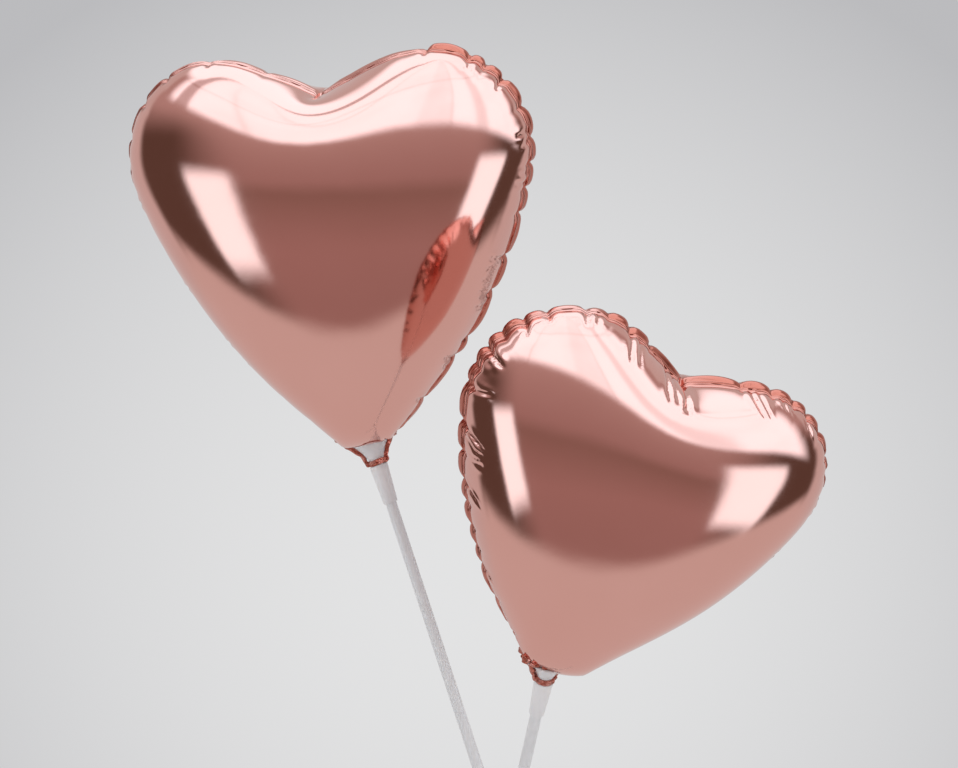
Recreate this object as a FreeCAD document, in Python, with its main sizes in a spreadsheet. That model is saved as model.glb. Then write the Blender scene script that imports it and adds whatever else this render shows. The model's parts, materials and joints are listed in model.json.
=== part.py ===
# A pair of heart-shaped foil balloons, each held in a plastic cup on a stick.
# Millimetres. +Z up, fronts of the balloons towards -Y.
# The origin is where the two sticks cross, inside the tie.
import FreeCAD, Part
import math
import os

import Sketcher

Vector, Rotation, Placement = FreeCAD.Vector, FreeCAD.Rotation, FreeCAD.Placement
X_AXIS, Y_AXIS, Z_AXIS = Vector(1, 0, 0), Vector(0, 1, 0), Vector(0, 0, 1)

doc = FreeCAD.newDocument("balloon_pair")
sheet = doc.addObject("Spreadsheet::Sheet", "Sizes")

SIZES = {
    # stick: a drinking-straw like tube
    "stick_length": 300.0,
    "stick_radius": 2.5,
    "stick_bore_radius": 2.0,
    # cup: tapered sleeve, waist, flaring petals
    "socket_floor": 2.5,
    "socket_clearance": 0.05,
    "stick_end_gap": 0.3,
    "sleeve_length": 17.5,
    "sleeve_foot_wall": 0.65,
    "sleeve_head_wall": 1.6,
    "waist_radius": 3.6,
    "waist_height": 3.2,
    "throat_radius": 1.5,
    "petal_height": 12.3,
    "petal_wall": 0.9,
    "rim_radius": 14.5,
    "flare_radius": 22.0,
    "petal_half_width": 12.3,
    "petal_root_half_width": 4.0,
    "petal_side_radius": 26.0,
    # foil tail wound round the waist
    "wrap_gap": 0.3,
    "wrap_thickness": 0.9,
    "wrap_lump_radius": 1.25,
    "wrap_lump_inset": 0.3,
    # gathered neck of the balloon, inside the cup
    "pivot_rise": 4.5,
    "gather_foot_radius": 1.6,
    "gather_head_radius": 9.0,
    "gather_crown": 3.0,
    "gather_drop": 3.4,
    "gather_gap": 2.6,
    "rim_clearance": 1.4,
    # foil
    "foil_wall": 0.3,
    "weld_width": 2.5,
    "weld_thickness": 0.2,
    "valve_width": 19.0,
    "valve_length": 60.0,
    "valve_thickness": 0.3,
    "valve_rise": 24.0,
    "valve_corner": 3.0,
    # band that ties the sticks
    "stick_gap": 0.3,
    "tie_slack": 0.65,
    "tie_wall": 0.9,
    "tie_height": 4.0,
}

SIDE_SIZES = {
    "left": {
        "stick_lean": -18.2, "stick_tilt": 0.0, "reach": 170.0, "cup_turn": 0.0,
        "heart_lean": -4.5, "heart_yaw": -11.0, "heart_pitch": 18.0,
        "heart_width": 177.0, "heart_height": 181.0, "cleft_depth": 16.0,
        "lobe_radius": 42.0, "top_radius": 150.0, "edge_radius": 270.0,
        "front_depth": 42.0, "back_depth": 39.0,
    },
    "right": {
        "stick_lean": 11.0, "stick_tilt": 30.0, "reach": 89.0, "cup_turn": 20.0,
        "heart_lean": 20.0, "heart_yaw": 12.0, "heart_pitch": 18.0,
        "heart_width": 153.0, "heart_height": 150.5, "cleft_depth": 10.5,
        "lobe_radius": 35.5, "top_radius": 130.0, "edge_radius": 197.0,
        "front_depth": 37.5, "back_depth": 34.5,
    },
}
for side, values in SIDE_SIZES.items():
    SIZES.update({f"{side}_{name}": value for name, value in values.items()})

# Sizes that follow from the sheet
SOCKET_RADIUS = "Sizes.stick_radius + Sizes.socket_clearance"
SOCKET_DEPTH = "Sizes.sleeve_length - Sizes.socket_floor"
WAIST_TOP = "Sizes.sleeve_length + Sizes.waist_height"
RIM = f"{WAIST_TOP} + Sizes.petal_height"
WRAP_FOOT = "Sizes.sleeve_length + Sizes.wrap_gap"
WRAP_HEAD = f"{WAIST_TOP} - Sizes.wrap_gap"
WRAP_RADIUS = "Sizes.waist_radius + Sizes.wrap_thickness"
NECK_HEIGHT = "Sizes.sleeve_length + Sizes.pivot_rise"
NECK_REACH = f"hypot(Sizes.rim_radius; {RIM} - ({NECK_HEIGHT})) + Sizes.rim_clearance"
GATHER_HEAD = f"{NECK_REACH} - Sizes.gather_gap - Sizes.gather_crown"
TIE_BORE = "2 * Sizes.stick_radius + Sizes.stick_gap / 2 + Sizes.tie_slack"

# Shape of a filled balloon's half, from the seam (step 0) to the middle of its face
DOME_STEPS = 7
DOME_SMALLEST = 0.16
DOME_POWER = 2.4
DOME_ROUNDNESS = 0.62
FULL_TURN = 360
PARALLEL = 0.01

for row, (alias, value) in enumerate(SIZES.items(), start=1):
    sheet.set(f"A{row}", alias)
    sheet.set(f"B{row}", str(value))
    sheet.setAlias(f"B{row}", alias)
doc.recompute()


def size(alias):
    return float(sheet.get(alias))


def worked(text):
    """Value of an expression on the sheet's sizes."""
    return float(sheet.evalExpression(text))


def new_body(label):
    body = doc.addObject("PartDesign::Body", label)
    body.Label = label
    return body


def plane(body, role):
    return next(f for f in body.Origin.OriginFeatures if f.Role == role)


def outline(body, name, role, corners, arcs=None):
    """Closed sketch through corners given as pairs of expressions; arcs maps an edge to (radius, side)."""
    sketch = body.newObject("Sketcher::SketchObject", name)
    sketch.AttachmentSupport = [(plane(body, role), "")]
    sketch.MapMode = "FlatFace"
    points = [Vector(worked(x), worked(y), 0) for x, y in corners]
    arcs = arcs or {}
    edge_ends = []
    for i, start in enumerate(points):
        end = points[(i + 1) % len(points)]
        if i not in arcs:
            sketch.addGeometry(Part.LineSegment(start, end))
            edge_ends.append((1, 2))
            continue
        radius_text, hand = arcs[i]
        radius = worked(radius_text)
        chord = end - start
        away = math.sqrt(radius ** 2 - (chord.Length / 2) ** 2)
        centre = (start + end) / 2 - Vector(-chord.y, chord.x, 0).normalize() * away * hand
        turns = [math.atan2((p - centre).y, (p - centre).x) for p in (start, end)]
        forward = (turns[1] - turns[0]) % math.tau < math.pi
        if not forward:
            turns.reverse()
        sweep = (turns[1] - turns[0]) % math.tau
        circle = Part.Circle(centre, Z_AXIS, radius)
        sketch.addGeometry(Part.ArcOfCircle(circle, turns[0], turns[0] + sweep))
        edge_ends.append((1, 2) if forward else (2, 1))
        index = sketch.addConstraint(Sketcher.Constraint("Radius", i, radius))
        sketch.setExpression(f"Constraints[{index}]", radius_text)
    for i, (x_text, y_text) in enumerate(corners):
        before = (i - 1) % len(corners)
        first, last = edge_ends[i][0], edge_ends[before][1]
        sketch.addConstraint(Sketcher.Constraint("Coincident", before, last, i, first))
        for kind, value, text in (("DistanceX", points[i].x, x_text), ("DistanceY", points[i].y, y_text)):
            index = sketch.addConstraint(Sketcher.Constraint(kind, -1, 1, i, first, value))
            sketch.setExpression(f"Constraints[{index}]", text)
    return sketch


def revolve(body, name, sketch):
    feature = body.newObject("PartDesign::Revolution", name)
    feature.Profile = sketch
    feature.ReferenceAxis = (sketch, ["V_Axis"])
    feature.Angle = FULL_TURN
    return feature


def stick_turn(side):
    return Rotation(Y_AXIS, size(f"{side}_stick_lean")) * Rotation(X_AXIS, size(f"{side}_stick_tilt"))


def crossing():
    """Placement of the tie: Z midway between the sticks, Y square to both of them."""
    left, right = (stick_turn(side).multVec(Z_AXIS) for side in ("left", "right"))
    across = left.cross(right).normalize()
    middle = (left + right).normalize()
    return Placement(Vector(), Rotation(across.cross(middle), across, middle, "ZYX"))


def unit_placement(side):
    """Foot of the cup's sleeve, with Z along the stick."""
    shift = size("stick_radius") + size("stick_gap") / 2
    turn = stick_turn(side)
    aside = crossing().Rotation.multVec(Y_AXIS) * (shift if side == "left" else -shift)
    return Placement(turn.multVec(Z_AXIS * size(f"{side}_reach")) + aside, turn)


def cup_placement(side):
    return unit_placement(side) * Placement(Vector(), Rotation(Z_AXIS, size(f"{side}_cup_turn")))


def heart_placement(side):
    """Neck of the balloon, with Z along the heart's middle and its front towards -Y."""
    neck = Z_AXIS * worked(NECK_HEIGHT)
    turn = Rotation(Y_AXIS, size(f"{side}_heart_lean"))
    turn = turn * Rotation(Z_AXIS, size(f"{side}_heart_yaw"))
    turn = turn * Rotation(X_AXIS, size(f"{side}_heart_pitch"))
    return Placement(unit_placement(side).multVec(neck), turn)


def rings(body, name, radii):
    """Sketch of circles about the body's Z axis, each radius given as an expression."""
    sketch = body.newObject("Sketcher::SketchObject", name)
    sketch.AttachmentSupport = [(plane(body, "XY_Plane"), "")]
    sketch.MapMode = "FlatFace"
    for i, text in enumerate(radii):
        sketch.addGeometry(Part.Circle(Vector(), Z_AXIS, worked(text)))
        sketch.addConstraint(Sketcher.Constraint("Coincident", i, 3, -1, 1))
        index = sketch.addConstraint(Sketcher.Constraint("Radius", i, worked(text)))
        sketch.setExpression(f"Constraints[{index}]", text)
    return sketch


def tube(body, outer, inner, length, centred=False):
    wall = body.newObject("PartDesign::Pad", "Wall")
    wall.Profile = rings(body, "Section", (outer, inner))
    wall.Midplane = centred
    wall.setExpression("Length", length)


def make_stick(side):
    body = new_body(f"{side}_stick")
    tube(body, "Sizes.stick_radius", "Sizes.stick_bore_radius", "Sizes.stick_length")
    foot = worked(SOCKET_DEPTH) - size("stick_end_gap") - size("stick_length")
    body.Placement = unit_placement(side) * Placement(Z_AXIS * foot, Rotation())


def make_cup(side):
    body = new_body(f"{side}_balloon_cup")
    floor = "Sizes.waist_radius - Sizes.petal_wall"
    profile = outline(body, "Wall", "XZ_Plane", [
        (SOCKET_RADIUS, "0"),
        (f"{SOCKET_RADIUS} + Sizes.sleeve_foot_wall", "0"),
        (f"{SOCKET_RADIUS} + Sizes.sleeve_head_wall", "Sizes.sleeve_length"),
        ("Sizes.waist_radius", "Sizes.sleeve_length"),
        ("Sizes.waist_radius", WAIST_TOP),
        ("Sizes.rim_radius", RIM),
        ("Sizes.rim_radius - Sizes.petal_wall", RIM),
        (floor, WAIST_TOP),
        (floor, "Sizes.sleeve_length"),
        ("Sizes.throat_radius", "Sizes.sleeve_length"),
        ("Sizes.throat_radius", SOCKET_DEPTH),
        (SOCKET_RADIUS, SOCKET_DEPTH),
    ], arcs={4: ("Sizes.flare_radius", 1), 6: ("Sizes.flare_radius + Sizes.petal_wall", -1)})
    revolve(body, "Trumpet", profile)
    # The trumpet is cut away at both sides, which leaves a front and a back petal
    clear = "Sizes.rim_radius + Sizes.petal_wall"
    for name, sign, hand in (("RightGap", "", 1), ("LeftGap", "-", -1)):
        gap = outline(body, name, "XZ_Plane", [
            (f"{sign}Sizes.petal_root_half_width", WAIST_TOP),
            (f"{sign}({clear})", WAIST_TOP),
            (f"{sign}({clear})", f"{RIM} + Sizes.petal_wall"),
            (f"{sign}Sizes.petal_half_width", f"{RIM} + Sizes.petal_wall"),
            (f"{sign}Sizes.petal_half_width", RIM),
        ], arcs={4: ("Sizes.petal_side_radius", hand)})
        cut = body.newObject("PartDesign::Pocket", f"{name}Cut")
        cut.Profile = gap
        cut.Midplane = True
        cut.setExpression("Length", f"2 * ({clear})")
    body.Placement = cup_placement(side)


def make_wrap(side):
    body = new_body(f"{side}_tail_wrap")
    ring = outline(body, "Band", "XZ_Plane", [
        ("Sizes.waist_radius", WRAP_FOOT),
        (WRAP_RADIUS, WRAP_FOOT),
        (WRAP_RADIUS, WRAP_HEAD),
        ("Sizes.waist_radius", WRAP_HEAD),
    ])
    revolve(body, "Turns", ring)
    for name, sign in (("RightTuck", 1), ("LeftTuck", -1)):
        lump = body.newObject("PartDesign::AdditiveSphere", name)
        lump.setExpression("Radius", "Sizes.wrap_lump_radius")
        lump.setExpression("Placement.Base.x", f"{sign} * ({WRAP_RADIUS} - Sizes.wrap_lump_inset)")
        lump.setExpression("Placement.Base.z", f"({WRAP_FOOT} + {WRAP_HEAD}) / 2")
    cut = body.newObject("PartDesign::Pocket", "WaistCut")
    cut.Profile = rings(body, "WaistSize", ["Sizes.waist_radius"])
    cut.Midplane = True
    cut.setExpression("Length", f"2 * ({RIM})")
    body.Placement = cup_placement(side)


def make_gather(side):
    """The gathered neck, a plain solid about the point that the balloon leans from."""
    body = new_body(f"{side}_neck_gather")
    profile = outline(body, "Folds", "XZ_Plane", [
        ("0", "-Sizes.gather_drop"),
        ("Sizes.gather_foot_radius", "-Sizes.gather_drop"),
        ("Sizes.gather_foot_radius", "0"),
        ("Sizes.gather_head_radius", GATHER_HEAD),
        ("0", f"{GATHER_HEAD} + Sizes.gather_crown"),
    ], arcs={2: ("Sizes.flare_radius", 1)})
    revolve(body, "Neck", profile)
    body.Placement = Placement(heart_placement(side).Base, unit_placement(side).Rotation)


def make_valve(side):
    body = new_body(f"{side}_inflation_valve")
    film = outline(body, "Film", "XZ_Plane", [
        ("-Sizes.valve_width / 2", "Sizes.valve_rise"),
        ("Sizes.valve_width / 2", "Sizes.valve_rise"),
        ("Sizes.valve_width / 2", "Sizes.valve_rise + Sizes.valve_length"),
        ("-Sizes.valve_width / 2", "Sizes.valve_rise + Sizes.valve_length"),
    ])
    ply = body.newObject("PartDesign::Pad", "Plies")
    ply.Profile = film
    ply.Midplane = True
    ply.setExpression("Length", "Sizes.valve_thickness")
    doc.recompute()
    corners = [f"Edge{i}" for i, edge in enumerate(ply.Shape.Edges, start=1)
               if edge.tangentAt(edge.FirstParameter).cross(Y_AXIS).Length < PARALLEL]
    rounding = body.newObject("PartDesign::Fillet", "Corners")
    rounding.Base = (ply, corners)
    rounding.setExpression("Radius", "Sizes.valve_corner")
    body.Placement = heart_placement(side)


def arc_from(point, lobe, lobe_radius, radius, below):
    """Centre of an arc of that radius that passes through point and runs smoothly into the lobe's circle."""
    reach = point.distanceToPoint(lobe)
    along = (radius ** 2 - (radius - lobe_radius) ** 2 + reach ** 2) / (2 * reach)
    aside = math.sqrt(radius ** 2 - along ** 2)
    toward = (lobe - point) / reach
    sides = [point + toward * along + Vector(toward.z, 0, -toward.x) * aside * sign for sign in (1, -1)]
    return min(sides, key=lambda centre: centre.z if below else centre.x)


def heart_wire(side, grow, share, depth):
    """Heart outline in the plane y = depth. share shrinks it about its middle and softens the cleft."""
    width = size(f"{side}_heart_width") / 2 + grow
    top = size(f"{side}_heart_height") + grow
    middle = Vector(0, 0, top - width)
    lobe_radius = size(f"{side}_lobe_radius") + grow
    lobe = Vector(width - lobe_radius, 0, top - lobe_radius)
    cleft = Vector(0, 0, top - size(f"{side}_cleft_depth") * share)
    tip = Vector(0, 0, -grow)
    radii = (size(f"{side}_top_radius"), size(f"{side}_edge_radius"))
    top_centre = arc_from(cleft, lobe, lobe_radius, radii[0], True)
    edge_centre = arc_from(tip, lobe, lobe_radius, radii[1], False)
    joints = [lobe + (lobe - centre).normalize() * lobe_radius for centre in (top_centre, edge_centre)]

    def bulge(start, end, centre):
        radius = start.distanceToPoint(centre)
        return centre + ((start + end) / 2 - centre).normalize() * radius

    stops = [
        (cleft, bulge(cleft, joints[0], top_centre), joints[0]),
        (joints[0], bulge(joints[0], joints[1], lobe), joints[1]),
        (joints[1], bulge(joints[1], tip, edge_centre), tip),
    ]

    def place(point, mirror):
        moved = middle + (point - middle) * share
        return Vector(-moved.x if mirror else moved.x, depth, moved.z)

    edges = [Part.Arc(*[place(p, False) for p in arc]).toShape() for arc in stops]
    edges += [Part.Arc(*[place(p, True) for p in reversed(arc)]).toShape() for arc in reversed(stops)]
    return Part.Wire(edges)


def pillow(side, depth, grow):
    """Closed pillow half between the seam plane and the crown at y = depth."""
    wires = []
    for step in range(DOME_STEPS + 1):
        angle = step / DOME_STEPS * math.acos(DOME_SMALLEST)
        share = math.cos(angle)
        rise = (1 - share ** DOME_POWER) ** DOME_ROUNDNESS
        wires.append(heart_wire(side, grow, share, depth * rise))
    return Part.makeLoft(wires, True, False)


def make_panel(side, name, face):
    """One foil sheet: a thin crowned shell with its half of the weld band, open at the neck."""
    depth = face * size(f"{side}_{name}_depth")
    wall, weld = size("foil_wall"), size("weld_width")
    outer = pillow(side, depth, -weld)
    inner = pillow(side, depth - face * wall, -weld - wall)
    band = Part.Face(heart_wire(side, 0, 1, 0)).cut(Part.Face(heart_wire(side, -weld - wall, 1, 0)))
    band = band.extrude(Vector(0, face * size("weld_thickness"), 0))
    shell = outer.cut(inner).fuse(band)
    # The sheet stops short of the cup, so that the balloon can lean without meeting its rim
    reach = worked(NECK_REACH)
    mouth = Part.makeCylinder(reach, 2 * abs(depth), Vector(0, -abs(depth), 0), Y_AXIS)
    shell = shell.cut(mouth).removeSplitter()
    panel = doc.addObject("Part::Feature", f"{side}_{name}_panel")
    panel.Label = f"{side}_{name}_panel"
    panel.Shape = shell
    panel.Placement = heart_placement(side)


def make_tie():
    body = new_body("stick_tie")
    tube(body, f"{TIE_BORE} + Sizes.tie_wall", TIE_BORE, "Sizes.tie_height", centred=True)
    body.Placement = crossing()


for side in SIDE_SIZES:
    make_stick(side)
    make_cup(side)
    make_wrap(side)
    make_gather(side)
    make_valve(side)
    make_panel(side, "front", -1)
    make_panel(side, "back", 1)
make_tie()
doc.recompute()

for item in doc.Objects:
    if {"Invalid", "Error"} & set(item.State):
        raise RuntimeError(f"{item.Label} did not build: {item.State}")
pieces = [o for o in doc.Objects if o.TypeId == "PartDesign::Body" or o.TypeId == "Part::Feature"]
for piece in pieces:
    if piece.Shape.isNull() or not piece.Shape.isValid():
        raise RuntimeError(f"{piece.Label} has no valid shape")

os.makedirs("parts", exist_ok=True)
for piece in pieces:
    piece.Shape.exportStep(f"parts/{piece.Label}.step")
    box = piece.Shape.BoundBox
    spans = "  ".join(f"{low:.1f}..{high:.1f}" for low, high in (
        (box.XMin, box.XMax), (box.YMin, box.YMax), (box.ZMin, box.ZMax)))
    print(f"{piece.Label:24} {len(piece.Shape.Solids)} solid  {piece.Shape.Volume:9.1f} mm3  {spans}")
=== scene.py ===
import json
import math
import random

import bmesh
import bpy
import numpy as np
from mathutils import Matrix, Vector, noise


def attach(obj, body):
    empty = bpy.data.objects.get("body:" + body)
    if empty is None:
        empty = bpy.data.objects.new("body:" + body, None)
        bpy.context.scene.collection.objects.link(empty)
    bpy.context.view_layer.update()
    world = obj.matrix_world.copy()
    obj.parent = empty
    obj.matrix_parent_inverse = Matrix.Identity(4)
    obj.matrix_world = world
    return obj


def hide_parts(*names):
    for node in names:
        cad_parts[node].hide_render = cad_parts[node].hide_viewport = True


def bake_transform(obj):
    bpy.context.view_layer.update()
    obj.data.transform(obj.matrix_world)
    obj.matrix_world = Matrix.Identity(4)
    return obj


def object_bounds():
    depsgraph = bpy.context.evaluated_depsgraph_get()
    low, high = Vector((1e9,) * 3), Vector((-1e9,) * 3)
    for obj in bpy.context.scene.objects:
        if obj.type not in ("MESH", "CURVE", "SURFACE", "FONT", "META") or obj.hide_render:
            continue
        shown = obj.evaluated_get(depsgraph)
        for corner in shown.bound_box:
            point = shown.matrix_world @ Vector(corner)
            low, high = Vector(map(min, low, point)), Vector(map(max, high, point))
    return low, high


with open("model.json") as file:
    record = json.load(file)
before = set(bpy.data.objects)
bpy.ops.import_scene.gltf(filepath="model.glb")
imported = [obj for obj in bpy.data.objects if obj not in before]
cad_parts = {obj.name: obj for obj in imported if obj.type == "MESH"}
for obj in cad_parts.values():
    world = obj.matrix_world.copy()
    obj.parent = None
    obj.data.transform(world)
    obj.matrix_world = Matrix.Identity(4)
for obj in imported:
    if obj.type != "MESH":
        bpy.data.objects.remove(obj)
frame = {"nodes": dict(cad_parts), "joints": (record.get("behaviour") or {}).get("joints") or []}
cadBox = [list(corner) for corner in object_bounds()]
joints = {joint["name"]: joint for joint in frame["joints"]}
mm = 0.001
print("frame loaded,", len(frame["nodes"]), "nodes")


def turned(x, y, z, place):
    matrix = Matrix((x, y, z)).transposed().to_4x4()
    matrix.translation = place
    return matrix


def heartSeat(side):
    # the sway joint turns about the heart's depth, the nod joint about its width
    y = Vector(joints[side + "_sway"]["axis"]).normalized()
    x = Vector(joints[side + "_nod"]["axis"]).normalized()
    return turned(x, y, x.cross(y), Vector(joints[side + "_nod"]["pos_m"]))


def cupSeat(side):
    # foot of the cup's sleeve, Z up the stick, Y from the front petal to the back one
    z = Vector(joints[side + "_cup_turn"]["axis"]).normalized()
    foot = Vector(joints[side + "_cup_turn"]["pos_m"])
    points = [v.co - foot for v in frame["nodes"][side + "_balloon_cup"].data.vertices]
    top = max(p.dot(z) for p in points)
    rim = [p - z * p.dot(z) for p in points if p.dot(z) > top - 0.3 * mm]
    # the petals' rims are farthest from the axis square to the line between their corners
    x = Vector((1, 0, 0)) - z * z.x
    x.normalize()
    y = z.cross(x)
    spread = [(p.dot(x), p.dot(y)) for p in rim]
    twice = [2 * math.atan2(b, a) for a, b in spread]
    angle = 0.5 * math.atan2(sum(map(math.sin, twice)), sum(map(math.cos, twice)))
    back = x * math.cos(angle) + y * math.sin(angle)
    if back.y < 0:
        back = -back
    return turned(back.cross(z), back, z, foot)


def spanIn(matrix, *names):
    inverse = matrix.inverted()
    points = [inverse @ v.co for name in names for v in frame["nodes"][name].data.vertices]
    low = Vector([min(p[k] for p in points) for k in range(3)])
    return low, Vector([max(p[k] for p in points) for k in range(3)])


class Wire:
    # wraps one socket, so that shader maths reads as ordinary expressions
    def __init__(self, sheet, socket):
        self.sheet = sheet
        self.socket = socket

    def maths(self, operation, *others, first=None):
        values = [self if first is None else first, *others]
        return self.sheet.add("ShaderNodeMath", {"operation": operation}, dict(enumerate(values)))

    def __add__(self, other):
        return self.maths("ADD", other)

    def __radd__(self, other):
        return self.maths("ADD", other)

    def __sub__(self, other):
        return self.maths("SUBTRACT", other)

    def __rsub__(self, other):
        return self.maths("SUBTRACT", self, first=other)

    def __mul__(self, other):
        return self.maths("MULTIPLY", other)

    def __rmul__(self, other):
        return self.maths("MULTIPLY", other)

    def __truediv__(self, other):
        return self.maths("DIVIDE", other)

    def limited(self):
        return self.sheet.add("ShaderNodeClamp", {}, {"Value": self})


class Sheet:
    # one node tree; add() makes a node from its settings and its sockets' values or links
    def __init__(self, tree):
        self.tree = tree

    def node(self, kind, settings, inputs):
        made = self.tree.nodes.new(kind)
        for key, value in settings.items():
            if key == "stops":
                ramp = made.color_ramp
                while len(ramp.elements) < len(value):
                    ramp.elements.new(0.5)
                for element, (place, colour) in zip(ramp.elements, value):
                    element.position = place
                    element.color = colour
            else:
                setattr(made, key, value)
        for key, value in inputs.items():
            if isinstance(value, Wire):
                self.tree.links.new(value.socket, made.inputs[key])
            else:
                made.inputs[key].default_value = value
        return made

    def add(self, kind, settings, inputs, out=0):
        return Wire(self, self.node(kind, settings, inputs).outputs[out])

    def mix(self, share, first, second):
        return self.add("ShaderNodeMix", {"data_type": "RGBA"}, {0: share, 6: first, 7: second}, 2)

    def noise(self, place, scale, detail=3.0, rough=0.5, out=0):
        return self.add("ShaderNodeTexNoise", {}, {"Vector": place, "Scale": scale, "Detail": detail,
                                                   "Roughness": rough}, out)

    def bump(self, height, distance, strength=1.0):
        inputs = {"Height": height, "Distance": distance, "Strength": strength}
        return self.add("ShaderNodeBump", {}, inputs)


def rgb(red, green, blue):
    return (red, green, blue, 1.0)


def material(name, build):
    made = bpy.data.materials.new(name)
    made.use_nodes = True
    tree = made.node_tree
    tree.nodes.clear()
    sheet = Sheet(tree)
    surface = build(sheet)
    sheet.node("ShaderNodeOutputMaterial", {}, {"Surface": surface})
    return made


def dress(piece, made):
    piece.data.materials.clear()
    piece.data.materials.append(made)


foilLook = {
    "colour": rgb(0.835, 0.465, 0.41),
    "deep": rgb(0.80, 0.435, 0.375),
    # painted shade: dark red painted on the foil along its seam and in its creases
    "paintedShade": rgb(0.50, 0.135, 0.09),
    "roughness": 0.10,
    "grain": 900.0,
    "waves": 30.0,
}


def foilFinish(sheet):
    place = sheet.add("ShaderNodeTexCoord", {}, {}, "Object")
    broad = sheet.noise(place, foilLook["waves"], 2.0)
    fine = sheet.noise(place, foilLook["grain"], 2.0)
    smear = sheet.noise(place, 160.0, 4.0, 0.6)
    colour = sheet.mix(broad, foilLook["colour"], foilLook["deep"])
    # painted shade: the foil is painted darker and redder along the seam, for the shade and the
    # foil-on-foil reflections there
    tucked = sheet.add("ShaderNodeAttribute", {"attribute_name": "tucked"}, {}, "Fac")
    colour = sheet.mix(tucked, colour, foilLook["paintedShade"])
    rough = foilLook["roughness"] + (smear - 0.5) * 0.05 + (fine - 0.5) * 0.02
    height = broad * 0.25 + smear * 0.02 + fine * 0.003
    return sheet.add("ShaderNodeBsdfPrincipled", {}, {
        "Base Color": colour, "Metallic": 1.0, "Roughness": rough,
        "Normal": sheet.bump(height, 0.0006)})


def crumpledFinish(sheet):
    place = sheet.add("ShaderNodeTexCoord", {}, {}, "Object")
    edges = {"feature": "DISTANCE_TO_EDGE"}
    folds = sheet.add("ShaderNodeTexVoronoi", edges, {"Vector": place, "Scale": 420.0})
    broad = sheet.add("ShaderNodeTexVoronoi", edges, {"Vector": place, "Scale": 190.0})
    fine = sheet.noise(place, 900.0, 3.0)
    # painted shade: the crumples are painted dark red along their creases
    colour = sheet.mix((broad * 1.6).limited(), foilLook["paintedShade"], foilLook["colour"])
    return sheet.add("ShaderNodeBsdfPrincipled", {}, {
        "Base Color": colour, "Metallic": 1.0, "Roughness": 0.10 + fine * 0.08,
        "Normal": sheet.bump(folds * 0.5 + broad * 0.8 + fine * 0.2, 0.0016)})


def cupFinish(sheet):
    place = sheet.add("ShaderNodeTexCoord", {}, {}, "Object")
    cloud = sheet.noise(place, 90.0, 3.0)
    grain = sheet.noise(place, 1400.0, 2.0)
    colour = sheet.mix(cloud, rgb(0.88, 0.85, 0.84), rgb(0.78, 0.75, 0.74))
    return sheet.add("ShaderNodeBsdfPrincipled", {}, {
        "Base Color": colour, "Roughness": 0.34 + (grain - 0.5) * 0.12 + cloud * 0.05,
        "Subsurface Weight": 0.3, "Subsurface Radius": (0.004, 0.0035, 0.003), "Subsurface Scale": 1.0,
        "IOR": 1.49,
        "Normal": sheet.bump(cloud * 0.4 + grain * 0.1, 0.00025)})


def stickFinish(sheet):
    place = sheet.add("ShaderNodeTexCoord", {}, {}, "Object")
    along = sheet.noise(place, 260.0, 2.0)
    grain = sheet.noise(place, 1200.0, 2.0)
    colour = sheet.mix(along, rgb(0.88, 0.86, 0.85), rgb(0.78, 0.76, 0.75))
    return sheet.add("ShaderNodeBsdfPrincipled", {}, {
        "Base Color": colour, "Roughness": 0.3 + (grain - 0.5) * 0.1,
        "Subsurface Weight": 0.3, "Subsurface Radius": (0.004, 0.0035, 0.003), "Subsurface Scale": 1.0,
        "IOR": 1.49,
        "Normal": sheet.bump(along * 0.5 + grain * 0.1, 0.0002)})


def bandFinish(sheet):
    place = sheet.add("ShaderNodeTexCoord", {}, {}, "Object")
    grain = sheet.noise(place, 1500.0, 3.0)
    colour = sheet.mix(grain, rgb(0.74, 0.62, 0.52), rgb(0.62, 0.5, 0.4))
    return sheet.add("ShaderNodeBsdfPrincipled", {}, {
        "Base Color": colour, "Roughness": 0.6 + grain * 0.15, "Subsurface Weight": 0.15,
        "Subsurface Radius": (0.002, 0.0015, 0.001), "Normal": sheet.bump(grain, 0.0002)})


def filmFinish(sheet):
    place = sheet.add("ShaderNodeTexCoord", {}, {}, "Object")
    cloud = sheet.noise(place, 200.0, 3.0)
    return sheet.add("ShaderNodeBsdfPrincipled", {}, {
        "Base Color": sheet.mix(cloud, rgb(0.9, 0.9, 0.9), rgb(0.8, 0.8, 0.8)),
        "Roughness": 0.15 + cloud * 0.1,
        "Transmission Weight": 0.85, "IOR": 1.5, "Normal": sheet.bump(cloud, 0.0003)})


foil = material("rose gold foil", foilFinish)
crumpledFoil = material("crumpled foil", crumpledFinish)
cupPlastic = material("cup plastic", cupFinish)
stickPlastic = material("stick plastic", stickFinish)
bandRubber = material("band rubber", bandFinish)
clearFilm = material("clear film", filmFinish)
print("finishes made")


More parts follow.
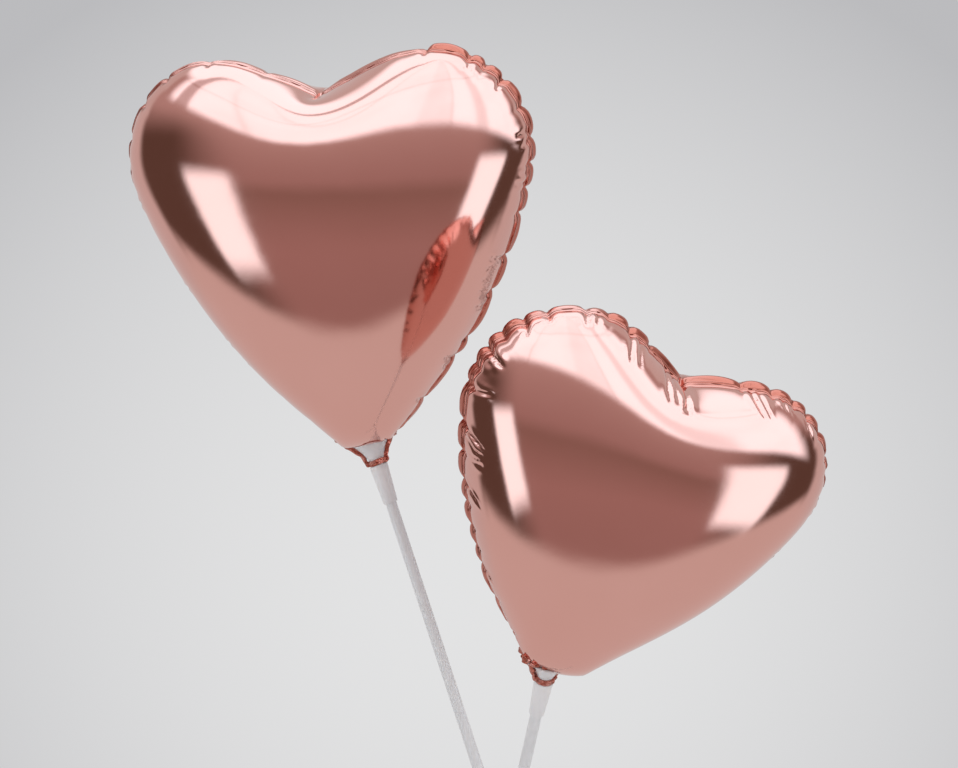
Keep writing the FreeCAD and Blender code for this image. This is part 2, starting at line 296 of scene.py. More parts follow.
# seam places are shares of the way round from the cleft, clockwise from the front;
# notches: (share, depth mm); folds: (share, depth, reach, drift mm); pinches: (share, away, half length mm)
hearts = {
    "left": {
        "cleftDepth": 16.0 * mm, "lobeRadius": 42.0 * mm, "topRadius": 150.0 * mm, "edgeRadius": 270.0 * mm,
        "seed": 11, "lap": (5.0, 0.0),
        "uneven": [(0, 0.5), (0.03, -1.2), (0.08, -1.2), (0.12, 0.3), (0.2, 1.0), (0.36, 1.0),
                   (0.42, -1.0), (0.48, -1.5), (0.52, 2.0), (0.6, 3.0), (0.72, 1.6), (0.78, 0.8),
                   (0.84, 3.0), (0.9, 4.4), (0.96, 1.6), (1, 0.5)],
        "swell": [(0, 0.6), (0.02, 1.4), (0.06, 1.2), (0.09, 1.2), (0.10, 3.0), (0.13, 2.6), (0.3, 2.2),
                  (0.45, 1.8), (0.5, 0.6), (0.56, 0.4), (0.75, 0.3), (0.78, 1.5), (0.87, 1.6),
                  (0.9, 0.5), (1, 0.6)],
        "notches": [(0.094, 1.0), (0.128, 1.3), (0.142, 1.2), (0.158, 1.4), (0.182, 1.2), (0.206, 1.3),
                    (0.226, 1.2), (0.246, 1.3), (0.266, 1.1), (0.302, 1.5), (0.333, 1.4), (0.377, 1.4),
                    (0.395, 1.2), (0.44, 1.3), (0.475, 1.0), (0.53, 0.7), (0.555, 0.6), (0.583, 0.9),
                    (0.605, 0.7), (0.63, 0.7), (0.645, 0.4), (0.695, 0.4), (0.735, 0.3), (0.765, 0.8),
                    (0.785, 0.9), (0.805, 1.0), (0.825, 1.0), (0.853, 1.4), (0.878, 0.9), (0.912, 0.6),
                    (0.955, 0.2)],
        "folds": [(0.094, 0.5, 5, 0), (0.13, 0.6, 9, 2), (0.158, 0.8, 8, 1), (0.2, 0.8, 11, 0),
                  (0.209, 0.5, 9, 0.5), (0.24, 0.8, 11, -2), (0.232, 0.5, 9, -1), (0.302, 0.9, 17, -3),
                  (0.335, 0.9, 14, -1.5), (0.344, 0.5, 13, -1), (0.395, 1.0, 14, -2),
                  (0.403, 0.5, 10, -2), (0.437, 0.9, 11, -1), (0.485, 0.6, 8, 0), (0.583, 0.6, 8, 1.5),
                  (0.912, 0.5, 5, 0), (0.853, 0.9, 7, 0), (0.878, 0.6, 5, 0), (0, 1.0, 8.5, 0)],
        "pinches": [(0.70, 8.5, 4.5), (0.645, 8.5, 4.5), (0.775, 6, 3), (0.625, 7, 2.5), (0.80, 4, 2),
                    (0.307, 11, 4.5), (0.312, 10, 4), (0.317, 11, 4.5), (0.322, 10, 4), (0.328, 10.5, 4)],
    },
    "right": {
        "cleftDepth": 10.5 * mm, "lobeRadius": 35.5 * mm, "topRadius": 130.0 * mm, "edgeRadius": 197.0 * mm,
        "seed": 23, "lap": (6.5, 2.5),
        "uneven": [(0, 0.5), (0.1, -0.5), (0.2, -0.8), (0.4, 0.0), (0.48, 0.0), (0.53, 1.5), (0.6, 4.0),
                   (0.7, 5.6), (0.8, 6.0), (0.9, 6.5), (0.95, 3.5), (0.98, 0.5), (1, 0.5)],
        "swell": [(0, 1.8), (0.05, 2.4), (0.15, 2.6), (0.24, 1.4), (0.27, 0.3), (0.44, 0.2), (0.5, 1.0),
                  (0.62, 1.8), (0.84, 2.4), (0.87, 0.8), (0.9, 0.8), (0.915, 2.8), (0.98, 2.4), (1, 1.8)],
        "notches": [(0.054, 0.9), (0.082, 1.1), (0.104, 1.2), (0.122, 1.3), (0.142, 1.3), (0.165, 1.2),
                    (0.18, 1.0), (0.2, 1.1), (0.222, 0.9), (0.266, 0.3), (0.329, 0.3), (0.409, 0.3),
                    (0.46, 0.8), (0.475, 1.0), (0.53, 1.0), (0.552, 1.2), (0.585, 0.7), (0.617, 1.2),
                    (0.635, 0.9), (0.655, 1.0), (0.678, 0.9), (0.698, 1.4), (0.725, 0.9), (0.752, 1.5),
                    (0.785, 1.4), (0.8, 1.1), (0.815, 1.4), (0.83, 1.2), (0.848, 1.3), (0.866, 1.0),
                    (0.895, 1.0), (0.912, 0.8), (0.932, 1.2), (0.955, 0.3)],
        "folds": [(0.848, 0.8, 9, -1), (0.866, 0.7, 6, 0), (0.895, 0.8, 10, 0), (0.903, 0.5, 9, 0),
                  (0.934, 1.1, 19.5, 3), (0.943, 0.7, 18, 3), (0.977, 1.2, 24, 3.8),
                  (0.985, 0.8, 22, 3.8), (0.0, 1.4, 25, 0), (0.0615, 1.0, 17, 6), (0.068, 0.7, 16, 6),
                  (0.092, 0.6, 8, 2), (0.098, 0.5, 8, 2), (0.12, 0.9, 9, 6), (0.8154, 1.1, 14, 0),
                  (0.809, 0.5, 10, 0), (0.785, 0.9, 17, 3), (0.75, 1.1, 19, -6), (0.744, 0.6, 14, -5),
                  (0.698, 1.1, 15, -7), (0.6172, 0.8, 9, -5), (0.5527, 0.7, 6, 0)],
        "pinches": [(0.266, 7, 3.5), (0.273, 6, 3), (0.329, 4, 3), (0.409, 3.5, 2.5), (0.2134, 5, 2.5),
                    (0.735, 13, 4), (0.73, 12, 3.5), (0.725, 13, 4)],
    },
}
foilSheet = {
    "grid": 200,
    "samples": 2048,
    "harmonics": 220,
    "domePower": 2.3,
    "domeRoundness": 0.56,
    "neckHalf": 5.2 * mm,
    "neckFoot": 8.5 * mm,
    "neckFlare": 15.0 * mm,
    "weld": 2.3 * mm,
    "fringe": 0.8 * mm,
    "film": 0.12 * mm,
    "edgeGap": 0.6 * mm,
    "cleftNotch": 1.6 * mm,
    "scallopHalf": 3.6 * mm,
    "scallopFade": 3.2 * mm,
    "lineHalf": 1.55 * mm,
    "lineShoulder": 0.35,
    "pinchHalf": 1.25 * mm,
    "pinchDepth": 0.7 * mm,
    "pinchShoulder": 0.4,
    "bellyStart": 4.5 * mm,
    "bellyFade": 14 * mm,
    "leanReach": 5 * mm,
    "waver": 0.6 * mm,
    # reach of the painted seam shade on the front and back sheets
    "frontShadeReach": 2.0 * mm,
    "backShadeReach": 11 * mm,
    "flutter": 0.06 * mm,
    "flutterGap": 1.9 * mm,
    "frontPuff": 0.35 * mm,
    "backPuff": 1.1 * mm,
}


def arcCentre(point, lobe, lobeRadius, radius, below):
    # centre of the arc through point that runs smoothly into the lobe's circle
    reach = (lobe - point).length
    along = (radius ** 2 - (radius - lobeRadius) ** 2 + reach ** 2) / (2 * reach)
    aside = math.sqrt(radius ** 2 - along ** 2)
    toward = (lobe - point) / reach
    sides = [point + toward * along + Vector((toward.y, -toward.x)) * aside * sign for sign in (1, -1)]
    return min(sides, key=lambda centre: centre.y if below else centre.x)


def arcPoints(centre, start, end, count):
    first = math.atan2(start.y - centre.y, start.x - centre.x)
    sweep = math.atan2(end.y - centre.y, end.x - centre.x) - first
    sweep = (sweep + math.pi) % math.tau - math.pi
    radius = (start - centre).length
    steps = [first + sweep * i / count for i in range(count + 1)]
    return [centre + Vector((math.cos(a), math.sin(a))) * radius for a in steps]


def heartSeam(look, halfWidth, height):
    # closed outline from the cleft clockwise, evenly spaced, as complex numbers
    lobe = Vector((halfWidth - look["lobeRadius"], height - look["lobeRadius"]))
    cleft = Vector((0, height - look["cleftDepth"]))
    tip = Vector((0, 0))
    topCentre = arcCentre(cleft, lobe, look["lobeRadius"], look["topRadius"], True)
    edgeCentre = arcCentre(tip, lobe, look["lobeRadius"], look["edgeRadius"], False)
    joins = [lobe + (lobe - c).normalized() * look["lobeRadius"] for c in (topCentre, edgeCentre)]
    half = arcPoints(topCentre, cleft, joins[0], 200)
    half += arcPoints(lobe, joins[0], joins[1], 200)[1:]
    half += arcPoints(edgeCentre, joins[1], tip, 400)[1:]
    neck, flare = foilSheet["neckHalf"], foilSheet["neckFlare"]
    shaped = []
    for p in half:
        x = p.x
        if p.y < height * 0.4:
            blend = max(flare - abs(p.x - neck), 0) / flare
            x = max(p.x, neck) + blend * blend * flare * 0.25
        if p.y > foilSheet["neckFoot"]:
            shaped.append(complex(x, p.y))
    end = shaped[-1].real
    shaped += [complex(end * share, foilSheet["neckFoot"]) for share in (1.0, 0.66, 0.33, 0.0)]
    loop = np.array(shaped + [complex(-p.real, p.imag) for p in reversed(shaped[:-1])])
    steps = np.concatenate([[0], np.cumsum(np.abs(np.diff(loop)))])
    even = np.linspace(0, steps[-1], foilSheet["samples"], endpoint=False)
    seam = np.interp(even, steps, loop.real) + 1j * np.interp(even, steps, loop.imag)
    # a filled heart is never quite even: push the outline out or in, in millimetres
    push = spots(look, "uneven", np.arange(len(seam)) / len(seam)) * mm
    return seam + outwardFrom(seam) * push, steps[-1]


def seamCreases(look, length):
    # notches draw the seam in; folds run from it into a sheet, the back sheet's at random
    rng = random.Random(look["seed"])
    notches = [(share * length, depth * mm) for share, depth in look["notches"]]
    notches += [(0.0, foilSheet["cleftNotch"])]
    front = [(share * length, depth * mm, reach * mm, drift * mm)
             for share, depth, reach, drift in look["folds"]]
    back = [(place, rng.uniform(0.4, 0.8) * mm, rng.uniform(8, 18) * mm, rng.uniform(-3, 3) * mm)
            for place, depth in notches if rng.random() < 0.7]
    return sorted(notches), {-1: front, 1: back}


def smooth(value):
    value = np.clip(value, 0, 1)
    return value * value * (3 - 2 * value)


def shapeFoil(bm, seam, depth, face):
    # face is -1 for the front sheet and 1 for the back one
    co = np.array([v.co[:] for v in bm.verts])
    x, y = co[:, 0], co[:, 1]
    u = x * np.sqrt(1 - y * y / 2)
    w = y * np.sqrt(1 - x * x / 2)
    rho = np.clip(np.hypot(u, w), 0, 1)
    # rings crowd towards the seam, where the sheet turns sharply
    rho = np.sin(rho * math.pi / 2) * 0.72 + rho * 0.28
    phi = np.arctan2(u, w)
    # each ring is the outline with its fine detail damped, so the cleft fades inwards
    count = foilSheet["harmonics"]
    waves = np.fft.fft(seam) / len(seam)
    plan = np.full(len(rho), waves[0])
    for n in range(1, count + 1):
        turn = np.exp(1j * n * phi) * rho ** n
        plan = plan + waves[n] * turn + waves[-n] * np.conj(np.exp(1j * n * phi)) * rho ** n
    rise = (1 - rho ** foilSheet["domePower"]) ** foilSheet["domeRoundness"]
    edge = rho > 0.99999
    where = (np.round(phi / math.tau * len(seam)).astype(int)) % len(seam)
    plan[edge] = seam[where[edge]]
    rise[edge] = 0
    for v, p, r in zip(bm.verts, plan, rise):
        v.co = Vector((p.real, face * depth * r, p.imag))


def foilNormals(bm):
    bm.normal_update()
    return np.array([v.normal[:] for v in bm.verts])


def spots(look, key, places):
    # a value read along the seam from (share, value) pairs
    shares, values = zip(*look[key])
    return np.interp(places, shares, values)


def outwardFrom(seam):
    tangent = np.roll(seam, -3) - np.roll(seam, 3)
    return 1j * tangent / np.abs(tangent)


def pucker(bm, seam, length, look, face, puff):
    scallops, lines = seamCreases(look, length)
    pinches = look["pinches"] if face < 0 else ()
    co = np.array([v.co[:] for v in bm.verts])
    plan = co[:, 0] + 1j * co[:, 2]
    nearest = np.zeros(len(co), int)
    flat = np.zeros(len(co))
    for start in range(0, len(co), 4000):
        gap = np.abs(plan[start:start + 4000, None] - seam[None, :])
        nearest[start:start + 4000] = gap.argmin(1)
        flat[start:start + 4000] = gap.min(1)
    away = np.hypot(flat, co[:, 1])
    along = nearest / len(seam) * length
    outward = outwardFrom(seam)

    def aside(place):
        return (along - place + length / 2) % length - length / 2

    shift = np.zeros(len(co))
    for place, depth in scallops:
        notch = np.clip(1 - np.abs(aside(place)) / foilSheet["scallopHalf"], 0, 1) ** 1.6
        shift -= depth * notch * np.exp(-(away / foilSheet["scallopFade"]) ** 2)
    for place, depth, reach, drift in lines[face]:
        share = np.clip(away / reach, 0, 1)
        half = foilSheet["lineHalf"] * (1.15 - 0.45 * share)
        offset = aside(place + drift * share * share)
        notch = np.clip(1 - np.abs(offset) / half, 0, 1) ** 1.3
        shoulder = np.exp(-((np.abs(offset) - 1.6 * half) / half) ** 2)
        fade = (0.6 + 0.5 * share) * smooth((1 - share) * 2.8)
        shift += depth * fade * (foilSheet["lineShoulder"] * shoulder - notch)
    for place, middle, reach in pinches:
        offset = np.abs(aside(place * length)) / foilSheet["pinchHalf"]
        run = np.clip(1 - np.abs(away / mm - middle) / reach, 0, 1) ** 0.6
        shoulder = foilSheet["pinchShoulder"] * np.exp(-(offset - 1.6) ** 2)
        shift += foilSheet["pinchDepth"] * run * (shoulder - np.clip(1 - offset, 0, 1))
    stops = np.array([place for place, depth in scallops] + [length + scallops[0][0]])
    index = np.clip(np.searchsorted(stops, along, side="right") - 1, 0, len(stops) - 2)
    share = (along - stops[index]) / (stops[index + 1] - stops[index])
    hump = np.clip(4 * share * (1 - share), 0, 1) ** 0.7
    size = np.clip((stops[index + 1] - stops[index]) / (10 * mm), 0.3, 1.3)
    swell = 0.4 * np.exp(-away / (3 * mm)) + smooth(away / (4 * mm)) * np.exp(-(away / (8 * mm)) ** 2)
    shift += puff * size * hump * swell
    if face > 0:
        # the back sheet bellies out past the seam
        belly = spots(look, "swell", along / length) * mm
        fade = smooth(away / foilSheet["bellyStart"]) * np.exp(-(away / foilSheet["bellyFade"]) ** 2)
        shift += belly * (0.55 + 0.45 * hump) * fade
    lean = smooth(away / foilSheet["leanReach"])[:, None]
    out = outward[nearest]
    flatOut = np.stack([out.real, np.zeros(len(co)), out.imag], 1)
    way = flatOut * (1 - lean) + foilNormals(bm) * lean
    way /= np.maximum(np.linalg.norm(way, axis=1), 1e-9)[:, None]
    # the front sheet laps over the cup's front petal
    if face < 0:
        forward, down = look["lap"]
        near = np.exp(-(co[:, 0] / mm / 24) ** 2) * smooth(away / (4 * mm))
        lap = near * smooth((48 - co[:, 2] / mm) / 38) * forward * mm
        drop = near * smooth((26 - co[:, 2] / mm) / 18) * down * mm
        for v, ahead, lower in zip(bm.verts, lap, drop):
            v.co -= Vector((0, float(ahead), float(lower)))
    # the seam itself waves a little to and fro
    sway = foilSheet["waver"] * np.sin(along / (9 * mm)) * np.sin(along / (23 * mm) + 1.0)
    sway *= np.exp(-away / (8 * mm))
    for v, move, heading, drift in zip(bm.verts, shift, way, sway):
        v.co += Vector(heading) * float(move) + Vector((0, float(drift), 0))
    # painted shade along the seam, for the foil's colour, scaled by the swell there
    if face < 0:
        nearSeam = np.exp(-away / foilSheet["frontShadeReach"]) * 0.75
    else:
        nearSeam = np.exp(-(away / foilSheet["backShadeReach"]) ** 2) * 0.95
    tucked = np.clip(spots(look, "swell", along / length) / 2.2, 0.2, 1) * nearSeam
    layer = bm.verts.layers.float.new("tucked")
    for v, value in zip(bm.verts, tucked):
        v[layer] = float(value)
    return outward


def foilPanel(side, name, face):
    look = hearts[side]
    seat = heartSeat(side)
    low, high = spanIn(seat, side + "_front_panel", side + "_back_panel")
    halfWidth = (high.x - low.x) / 2 - foilSheet["weld"]
    height = high.z - foilSheet["weld"]
    depth = abs(low.y if face < 0 else high.y) - foilSheet["edgeGap"]
    seam, length = heartSeam(look, halfWidth, height)
    bm = bmesh.new()
    bmesh.ops.create_grid(bm, x_segments=foilSheet["grid"], y_segments=foilSheet["grid"], size=1.0)
    shapeFoil(bm, seam, depth, face)
    bm.normal_update()
    middle = max(bm.faces, key=lambda f: abs(f.calc_center_median().y))
    if middle.normal.y * face < 0:
        bmesh.ops.reverse_faces(bm, faces=bm.faces[:])
    puff = foilSheet["frontPuff"] if face < 0 else foilSheet["backPuff"]
    outward = pucker(bm, seam, length, look, face, puff)
    # the weld: a flat fringe outside the seam
    rim = [e for e in bm.edges if e.is_boundary]
    for share in (0.5, 0.5):
        grown = bmesh.ops.extrude_edge_only(bm, edges=rim)["geom"]
        fringe = [g for g in grown if isinstance(g, bmesh.types.BMVert)]
        for v in fringe:
            near = int(np.abs(seam - complex(v.co.x, v.co.z)).argmin())
            out = outward[near]
            wave = math.sin(near / len(seam) * length / foilSheet["flutterGap"])
            back = foilSheet["flutter"] * wave + 0.35 * foilSheet["fringe"] * share
            v.co += Vector((out.real, 0, out.imag)) * foilSheet["fringe"] * share + Vector((0, back, 0))
        rim = [g for g in grown if isinstance(g, bmesh.types.BMEdge) and g.is_boundary
               and g.verts[0] in fringe and g.verts[1] in fringe]
    for v in bm.verts:
        v.co.y += face * foilSheet["film"]
    for f in bm.faces:
        f.smooth = True
    bmesh.ops.transform(bm, matrix=seat, verts=bm.verts)
    piece = finished(bm, f"{side}_{name}_foil")
    wall = piece.modifiers.new("film", "SOLIDIFY")
    wall.thickness = foilSheet["film"] * 0.8
    wall.offset = -1
    dress(piece, foil)
    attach(piece, side + "_balloon")
    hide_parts(f"{side}_{name}_panel")


def finished(bm, name):
    mesh = bpy.data.meshes.new(name)
    bm.to_mesh(mesh)
    bm.free()
    piece = bpy.data.objects.new(name, mesh)
    bpy.context.scene.collection.objects.link(piece)
    return piece


for side in hearts:
    foilPanel(side, "front", -1)
    foilPanel(side, "back", 1)
print("foil hearts filled")


gather = {
    "rings": [(-3.1, 1.5), (-1.5, 1.9), (0.5, 2.5), (3.0, 3.7), (5.5, 5.3), (8.0, 7.3), (10.2, 9.6),
              (11.8, 10.6), (13.4, 10.4), (15.8, 9.0), (18.5, 6.0)],
    "ears": [(-11.2, -5.6, 12.3, 3.4, 2.5), (-9.0, -9.4, 11.9, 2.6, 1.5), (-4.5, -11.2, 11.7, 2.7, 1.3),
             (0.5, -12.0, 11.7, 2.7, 1.2), (5.0, -11.2, 11.7, 2.6, 1.3), (9.0, -9.4, 11.8, 2.6, 1.5),
             (12.0, -6.2, 12.0, 2.9, 2.1), (-6.0, 9.5, 12.0, 3.2, 1.9), (0.0, 11.0, 12.0, 3.2, 1.7),
             (6.5, 9.5, 12.0, 3.2, 1.9), (-11.5, 0, 12.0, 2.6, 2.4), (11.5, 0, 12.0, 2.6, 2.4)],
    "segments": 120,
    "pleats": 15,
    "pleatDepth": 0.16,
    "crumple": 0.9 * mm,
}


def ringTower(rings, segments):
    # closed turned solid from (height, radius) pairs in metres
    bm = bmesh.new()
    base = bmesh.ops.create_circle(bm, cap_ends=True, radius=rings[0][1], segments=segments)["verts"]
    bmesh.ops.translate(bm, verts=base, vec=(0, 0, rings[0][0]))
    loop = [e for e in bm.edges if e.is_boundary]
    ring = base
    for (oldHeight, oldRadius), (height, radius) in zip(rings, rings[1:]):
        grown = bmesh.ops.extrude_edge_only(bm, edges=loop)["geom"]
        ring = [g for g in grown if isinstance(g, bmesh.types.BMVert)]
        loop = [g for g in grown if isinstance(g, bmesh.types.BMEdge)
                and g.verts[0] in ring and g.verts[1] in ring]
        bmesh.ops.scale(bm, verts=ring, vec=(radius / oldRadius, radius / oldRadius, 1))
        bmesh.ops.translate(bm, verts=ring, vec=(0, 0, height - oldHeight))
    bmesh.ops.contextual_create(bm, geom=loop)
    bmesh.ops.recalc_face_normals(bm, faces=bm.faces)
    return bm


def smoothRings(rings, steps):
    # rounds a (height, radius) profile with more rings between its points
    heights = [h for h, r in rings]
    radii = [r for h, r in rings]
    places = np.linspace(0, len(rings) - 1, steps)
    knots = range(len(rings))
    return [
        (float(np.interp(t, knots, heights)) * mm, float(np.interp(t, knots, radii)) * mm)
        for t in places
    ]


def makeGather(side):
    heart = heartSeat(side)
    stick = cupSeat(side)
    stick.translation = heart.translation
    bm = ringTower(smoothRings(gather["rings"], 46), gather["segments"])
    seed = hearts[side]["seed"]
    top = gather["rings"][-1][0] * mm
    for v in bm.verts:
        turn = math.atan2(v.co.y, v.co.x)
        share = min(max(v.co.z / top, 0), 1)
        around = Vector((math.cos(turn) * 1.3, math.sin(turn) * 1.3, v.co.z * 60 + seed))
        twist = 1.5 * noise.noise(around)
        pleat = abs(math.sin(turn * gather["pleats"] / 2 + twist)) - 0.5
        v.co.xy *= 1 + gather["pleatDepth"] * pleat * (0.5 + share)
        wild = noise.noise_vector(v.co * 420 + Vector((seed, 0, 0)))
        v.co += wild * gather["crumple"] * (0.35 + 0.65 * share)
        # the foot follows the stick, the head follows the balloon
        follow = share * share * (3 - 2 * share)
        flat = Vector((v.co.x * (1 + 0.25 * follow), v.co.y * (1 - 0.2 * follow), v.co.z))
        v.co = (stick @ v.co).lerp(heart @ flat, follow)
    for x, y, z, width, height in gather["ears"]:
        ear = bmesh.ops.create_icosphere(bm, subdivisions=4, radius=1.0)["verts"]
        for v in ear:
            v.co *= 1 + 0.38 * noise.noise(v.co * 1.9 + Vector((x, y, seed)))
            lump = Vector((x + v.co.x * width, y + v.co.y * height, z + v.co.z * height))
            v.co = stick @ (lump * mm)
    for f in bm.faces:
        f.smooth = True
    piece = finished(bm, side + "_gathered_neck")
    dress(piece, crumpledFoil)
    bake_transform(piece)
    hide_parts(side + "_neck_gather")


wrap = {
    "rings": [(0.0, 3.62), (0.0, 4.0), (0.15, 4.3), (0.6, 4.5), (1.3, 4.42), (2.0, 4.5), (2.45, 4.3),
              (2.6, 4.0), (2.6, 3.62)],
    "crumple": 0.28 * mm,
    "tuck": 1.25 * mm,
}


def makeWrap(side):
    cup = cupSeat(side)
    low, high = spanIn(cup, side + "_tail_wrap")
    bm = ringTower(smoothRings(wrap["rings"], 26), 128)
    seed = hearts[side]["seed"]
    for v in bm.verts:
        turn = math.atan2(v.co.y, v.co.x)
        # creased turns of film, drawn slightly askew
        skew = 0.35 * math.sin(turn * 2 + seed) * (v.co.z / (2.6 * mm) - 0.5)
        around = Vector((math.cos(turn) * 3, math.sin(turn) * 3, v.co.z * 900 + skew * 2 + seed))
        wave = abs(noise.noise(around))
        if v.co.xy.length > 3.9 * mm:
            v.co.xy *= 1 + (wave - 0.2) * wrap["crumple"] / (4.4 * mm) * 2.2
        v.co.z += low.z + 0.12 * mm * math.sin(turn * 3 + seed)
    for sign in (-1, 1):
        tuck = bmesh.ops.create_icosphere(bm, subdivisions=4, radius=wrap["tuck"] * 0.92)["verts"]
        for v in tuck:
            v.co += v.co.normalized() * noise.noise(v.co * 1600 + Vector((sign, seed, 0))) * 0.35 * mm
            v.co.z *= 0.95
            v.co += Vector((sign * (4.35 * mm), 0, (low.z + high.z) / 2))
    for f in bm.faces:
        f.smooth = True
    bmesh.ops.transform(bm, matrix=cup, verts=bm.verts)
    piece = finished(bm, side + "_wound_tail")
    dress(piece, crumpledFoil)
    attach(piece, side + "_cup")
    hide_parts(side + "_tail_wrap")


strand = {
    "rings": [(18.4, 0.5), (19.2, 1.0), (21.0, 1.15), (23.5, 1.3), (26.0, 1.6), (28.5, 1.9),
              (31.0, 2.2), (33.2, 1.8)],
    "path": [(18.4, 4.4), (20.5, 4.5), (23.0, 5.6), (26.0, 7.4), (29.0, 9.3), (33.2, 11.4)],
}


def makeStrands(side):
    # the tail comes down between the petals on both sides to where it is wound
    cup = cupSeat(side)
    heights, aways = zip(*strand["path"])
    whole = bmesh.new()
    seed = hearts[side]["seed"]
    for sign in (-1, 1):
        bm = ringTower(smoothRings(strand["rings"], 60), 40)
        for v in bm.verts:
            wild = noise.noise_vector(v.co * 330 + Vector((sign * 7, seed, 0)))
            reach = float(np.interp(v.co.z / mm, heights, aways)) * mm
            v.co = Vector((sign * reach + v.co.x, v.co.y * 0.8, v.co.z)) + wild * 0.9 * mm
        for f in bm.faces:
            f.smooth = True
        part = bpy.data.meshes.new("strand")
        bm.to_mesh(part)
        bm.free()
        whole.from_mesh(part)
        bpy.data.meshes.remove(part)
    bmesh.ops.transform(whole, matrix=cup, verts=whole.verts)
    piece = finished(whole, side + "_tail_strands")
    dress(piece, crumpledFoil)
    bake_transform(piece)


tie = {"turns": 4, "cord": 0.48 * mm, "steps": 48}


def makeTie():
    # axis of the ring: midway between the two sticks
    ways = [Vector(joints[s + "_cup_turn"]["axis"]).normalized() for s in ("left", "right")]
    z = (ways[0] + ways[1]).normalized()
    y = Vector(joints["stick_spread"]["axis"]).normalized()
    seat = turned(y.cross(z), y, z, Vector((0, 0, 0)))
    low, high = spanIn(seat, "stick_tie")
    radius = high.x - tie["cord"] - 0.05 * mm
    bm = bmesh.new()
    section = bmesh.ops.create_circle(bm, cap_ends=True, radius=tie["cord"], segments=14)["verts"]
    bmesh.ops.rotate(bm, verts=section, cent=(0, 0, 0), matrix=Matrix.Rotation(math.pi / 2, 3, "X"))
    bmesh.ops.translate(bm, verts=section, vec=(radius, 0, low.z + tie["cord"]))
    steps = tie["steps"] * tie["turns"]
    climb = (high.z - low.z - 2 * tie["cord"]) / steps
    bmesh.ops.spin(bm, geom=bm.verts[:] + bm.edges[:] + bm.faces[:], cent=(0, 0, 0), axis=(0, 0, 1),
                   dvec=(0, 0, climb), angle=math.tau * tie["turns"], steps=steps, use_merge=False)
    bmesh.ops.recalc_face_normals(bm, faces=bm.faces)
    for f in bm.faces:
        f.smooth = True
    bmesh.ops.transform(bm, matrix=seat, verts=bm.verts)
    piece = finished(bm, "elastic_tie")
    dress(piece, bandRubber)
    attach(piece, "holder")
    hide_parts("stick_tie")


for side in hearts:
    makeGather(side)
    makeWrap(side)
    makeStrands(side)
makeTie()
print("necks gathered and tied")


for side in hearts:
    dress(frame["nodes"][side + "_stick"], stickPlastic)
    dress(frame["nodes"][side + "_balloon_cup"], cupPlastic)
    dress(frame["nodes"][side + "_inflation_valve"], clearFilm)


studio = {
    "floorRadius": 1.1,
    "floorDrop": 0.012,
    "camera": (-0.01175, -1.0098, 0.21507),
    "lens": 85.0,
}


def makeFloor():
    bm = bmesh.new()
    bmesh.ops.create_circle(bm, cap_ends=True, radius=studio["floorRadius"], segments=96)
    bmesh.ops.translate(bm, verts=bm.verts, vec=(0, 0, cadBox[0][2] - studio["floorDrop"]))
    floor = finished(bm, "studio_floor")

    def floorFinish(sheet):
        place = sheet.add("ShaderNodeTexCoord", {}, {}, "Object")
        cloud = sheet.noise(place, 3.0, 2.0)
        return sheet.add("ShaderNodeBsdfPrincipled", {}, {
            "Base Color": sheet.mix(cloud, rgb(0.80, 0.79, 0.79), rgb(0.76, 0.75, 0.75)), "Roughness": 0.7})

    dress(floor, material("studio floor", floorFinish))
    # the foil mirrors the painted room instead, which has a floor of its own
    floor.visible_glossy = False


def softbox(name, place, target, width, height, power, colour=(1, 1, 1)):
    light = bpy.data.lights.new(name, "AREA")
    light.shape = "RECTANGLE"
    light.size, light.size_y = width, height
    light.energy = power
    light.color = colour
    lamp = bpy.data.objects.new(name, light)
    bpy.context.scene.collection.objects.link(lamp)
    lamp.location = place
    lamp.visible_glossy = False
    lamp.rotation_euler = (Vector(target) - Vector(place)).to_track_quat("-Z", "Y").to_euler()


roomLook = {
    "topLight": (1.56, 1.88, 2.08),
    "window": (1.45, 1.75, 1.9),
    "dark": (0.115, 0.078, 0.062),
    "behind": (0.64, 0.62, 0.62),
    "floor": (0.67, 0.635, 0.625),
    "topEdge": 17.0,
    "windowLeft": (-69.0, -47.0, -37.0, -5.0),
    "windowRight": (45.0, 75.0, -42.0, -8.0),
}


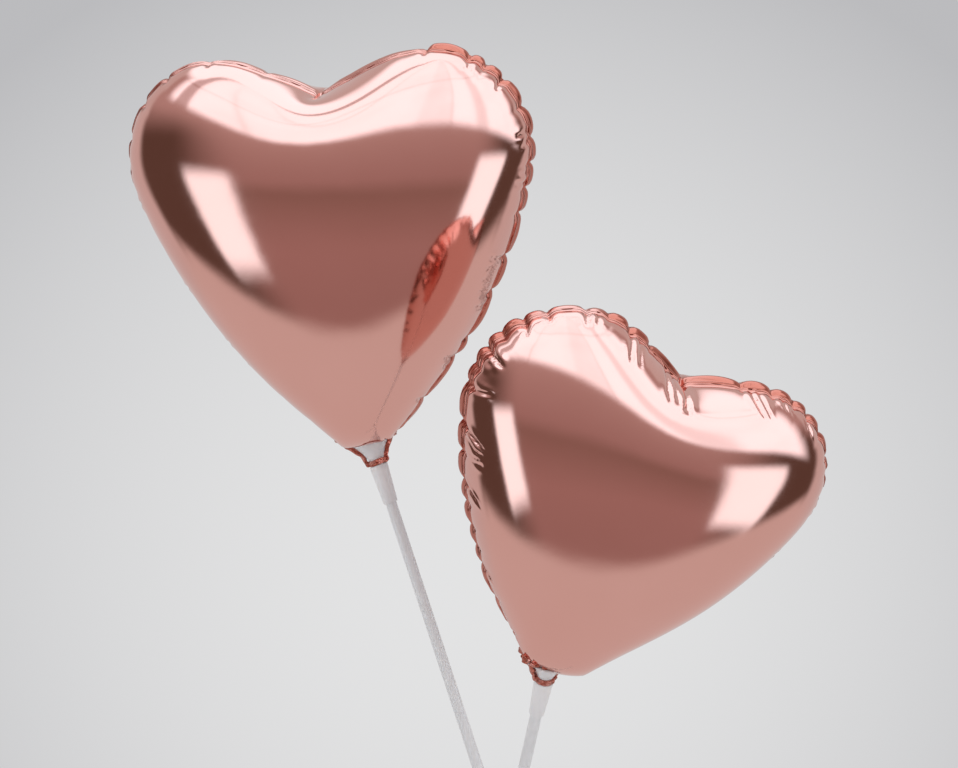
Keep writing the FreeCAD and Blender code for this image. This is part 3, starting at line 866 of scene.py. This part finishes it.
def makeWorld():
    world = bpy.data.worlds.new("studio")
    bpy.context.scene.world = world
    world.use_nodes = True
    tree = world.node_tree
    tree.nodes.clear()
    sheet = Sheet(tree)
    way = sheet.add("ShaderNodeTexCoord", {}, {}, "Generated")
    parts = sheet.node("ShaderNodeSeparateXYZ", {}, {"Vector": way})
    up = Wire(sheet, parts.outputs["Z"])
    aside = Wire(sheet, parts.outputs["X"])
    deep = Wire(sheet, parts.outputs["Y"])

    def ramp(value, low, high):
        return sheet.add("ShaderNodeMapRange", {"interpolation_type": "SMOOTHSTEP"}, {
            "Value": value, "From Min": low, "From Max": high})

    def between(value, low, high, blur):
        return ramp(value, low - blur, low + blur) * (1 - ramp(value, high - blur, high + blur))

    # what is seen past the object
    drop = up + 0.078
    ring = (drop * drop * 12.0 + aside * aside * 10.8).limited()
    seen = sheet.mix(ring, rgb(0.768, 0.768, 0.772), rgb(0.50, 0.50, 0.515))
    # what the foil mirrors, by height and bearing in degrees; zero bearing is towards the viewer
    height = up.maths("ARCSINE") * (180 / math.pi)
    bearing = aside.maths("ARCTAN2", 0 - deep) * (180 / math.pi)
    turn = bearing.maths("ABSOLUTE")
    wall = sheet.add("ShaderNodeValToRGB", {"stops": [
        (0.0, rgb(0.34, 0.24, 0.225)), (0.22, rgb(0.36, 0.25, 0.24)), (0.30, rgb(0.385, 0.265, 0.255)),
        (0.40, rgb(0.275, 0.19, 0.17)), (0.435, rgb(0.39, 0.28, 0.27)), (0.60, rgb(0.50, 0.40, 0.39)),
        (1.0, rgb(0.50, 0.40, 0.39))]}, {0: (height + bearing * 0.1) / 180 + 0.5})
    shade = ramp(turn, 38.0, 74.0) * (1 - ramp(height, 8.0, 30.0))
    room = sheet.mix(shade, wall, rgb(*roomLook["dark"]))
    room = sheet.mix(ramp(turn, 104.0, 116.0), room, rgb(*roomLook["behind"]))
    floorEdge = (turn * turn * 0.0031 - 58.0).maths("MINIMUM", -24.0)
    onFloor = ramp(floorEdge - height, -4.0, 5.0)
    room = sheet.mix(onFloor, room, rgb(*roomLook["floor"]))
    for box in ("windowLeft", "windowRight"):
        left, right, low, high = roomLook[box]
        pane = between(bearing, left, right, 3.0) * between(height, low, high, 4.0)
        room = sheet.mix(pane, room, rgb(*roomLook["window"]))
    edge = roomLook["topEdge"] - bearing * 0.2
    overhead = (1 - ramp(turn, 82.0, 100.0)).maths("MAXIMUM", ramp(height, 50.0, 62.0))
    top = ramp(height - edge, -4.0, 4.0) * overhead
    bars = (
        between(bearing, -37.0, -35.2, 0.8)
        + between(bearing, 21.0, 22.8, 0.8)
        + between(height, 52.0, 53.2, 0.8)
    )
    gap = between(bearing, -80.0, -66.0, 2.0) + between(bearing, 40.0, 50.0, 3.0) * 0.4
    panel = between(bearing, 2.0, 21.0, 2.0) * 0.12 + (sheet.noise(way, 2.5, 2.0) - 0.5) * 0.35
    top = top * (1 - (bars * 0.3 + gap * 0.8 + panel.limited()).limited())
    room = sheet.mix(top, room, rgb(*roomLook["topLight"]))
    mirrored = sheet.add("ShaderNodeLightPath", {}, {}, "Is Glossy Ray")
    both = sheet.mix(mirrored, seen, room)
    back = sheet.add("ShaderNodeBackground", {}, {"Color": both, "Strength": 1.0})
    sheet.node("ShaderNodeOutputWorld", {}, {"Surface": back})


def makeCamera():
    data = bpy.data.cameras.new("camera")
    data.lens = studio["lens"]
    camera = bpy.data.objects.new("camera", data)
    bpy.context.scene.collection.objects.link(camera)
    camera.location = studio["camera"]
    camera.rotation_euler = (math.pi / 2, 0, 0)
    bpy.context.scene.camera = camera


makeFloor()
makeWorld()
makeCamera()
softbox("top light", (0.0, -0.25, 1.25), (0.0, -0.05, 0.2), 1.3, 0.95, 7.0, (1.0, 0.98, 0.97))
softbox("left light", (-1.05, -0.75, 0.35), (0.0, -0.05, 0.2), 0.32, 0.85, 3.0)
softbox("right light", (1.05, -0.75, 0.32), (0.0, -0.05, 0.2), 0.4, 0.8, 3.0)
bpy.context.scene.view_settings.view_transform = "Standard"
print("studio lit")
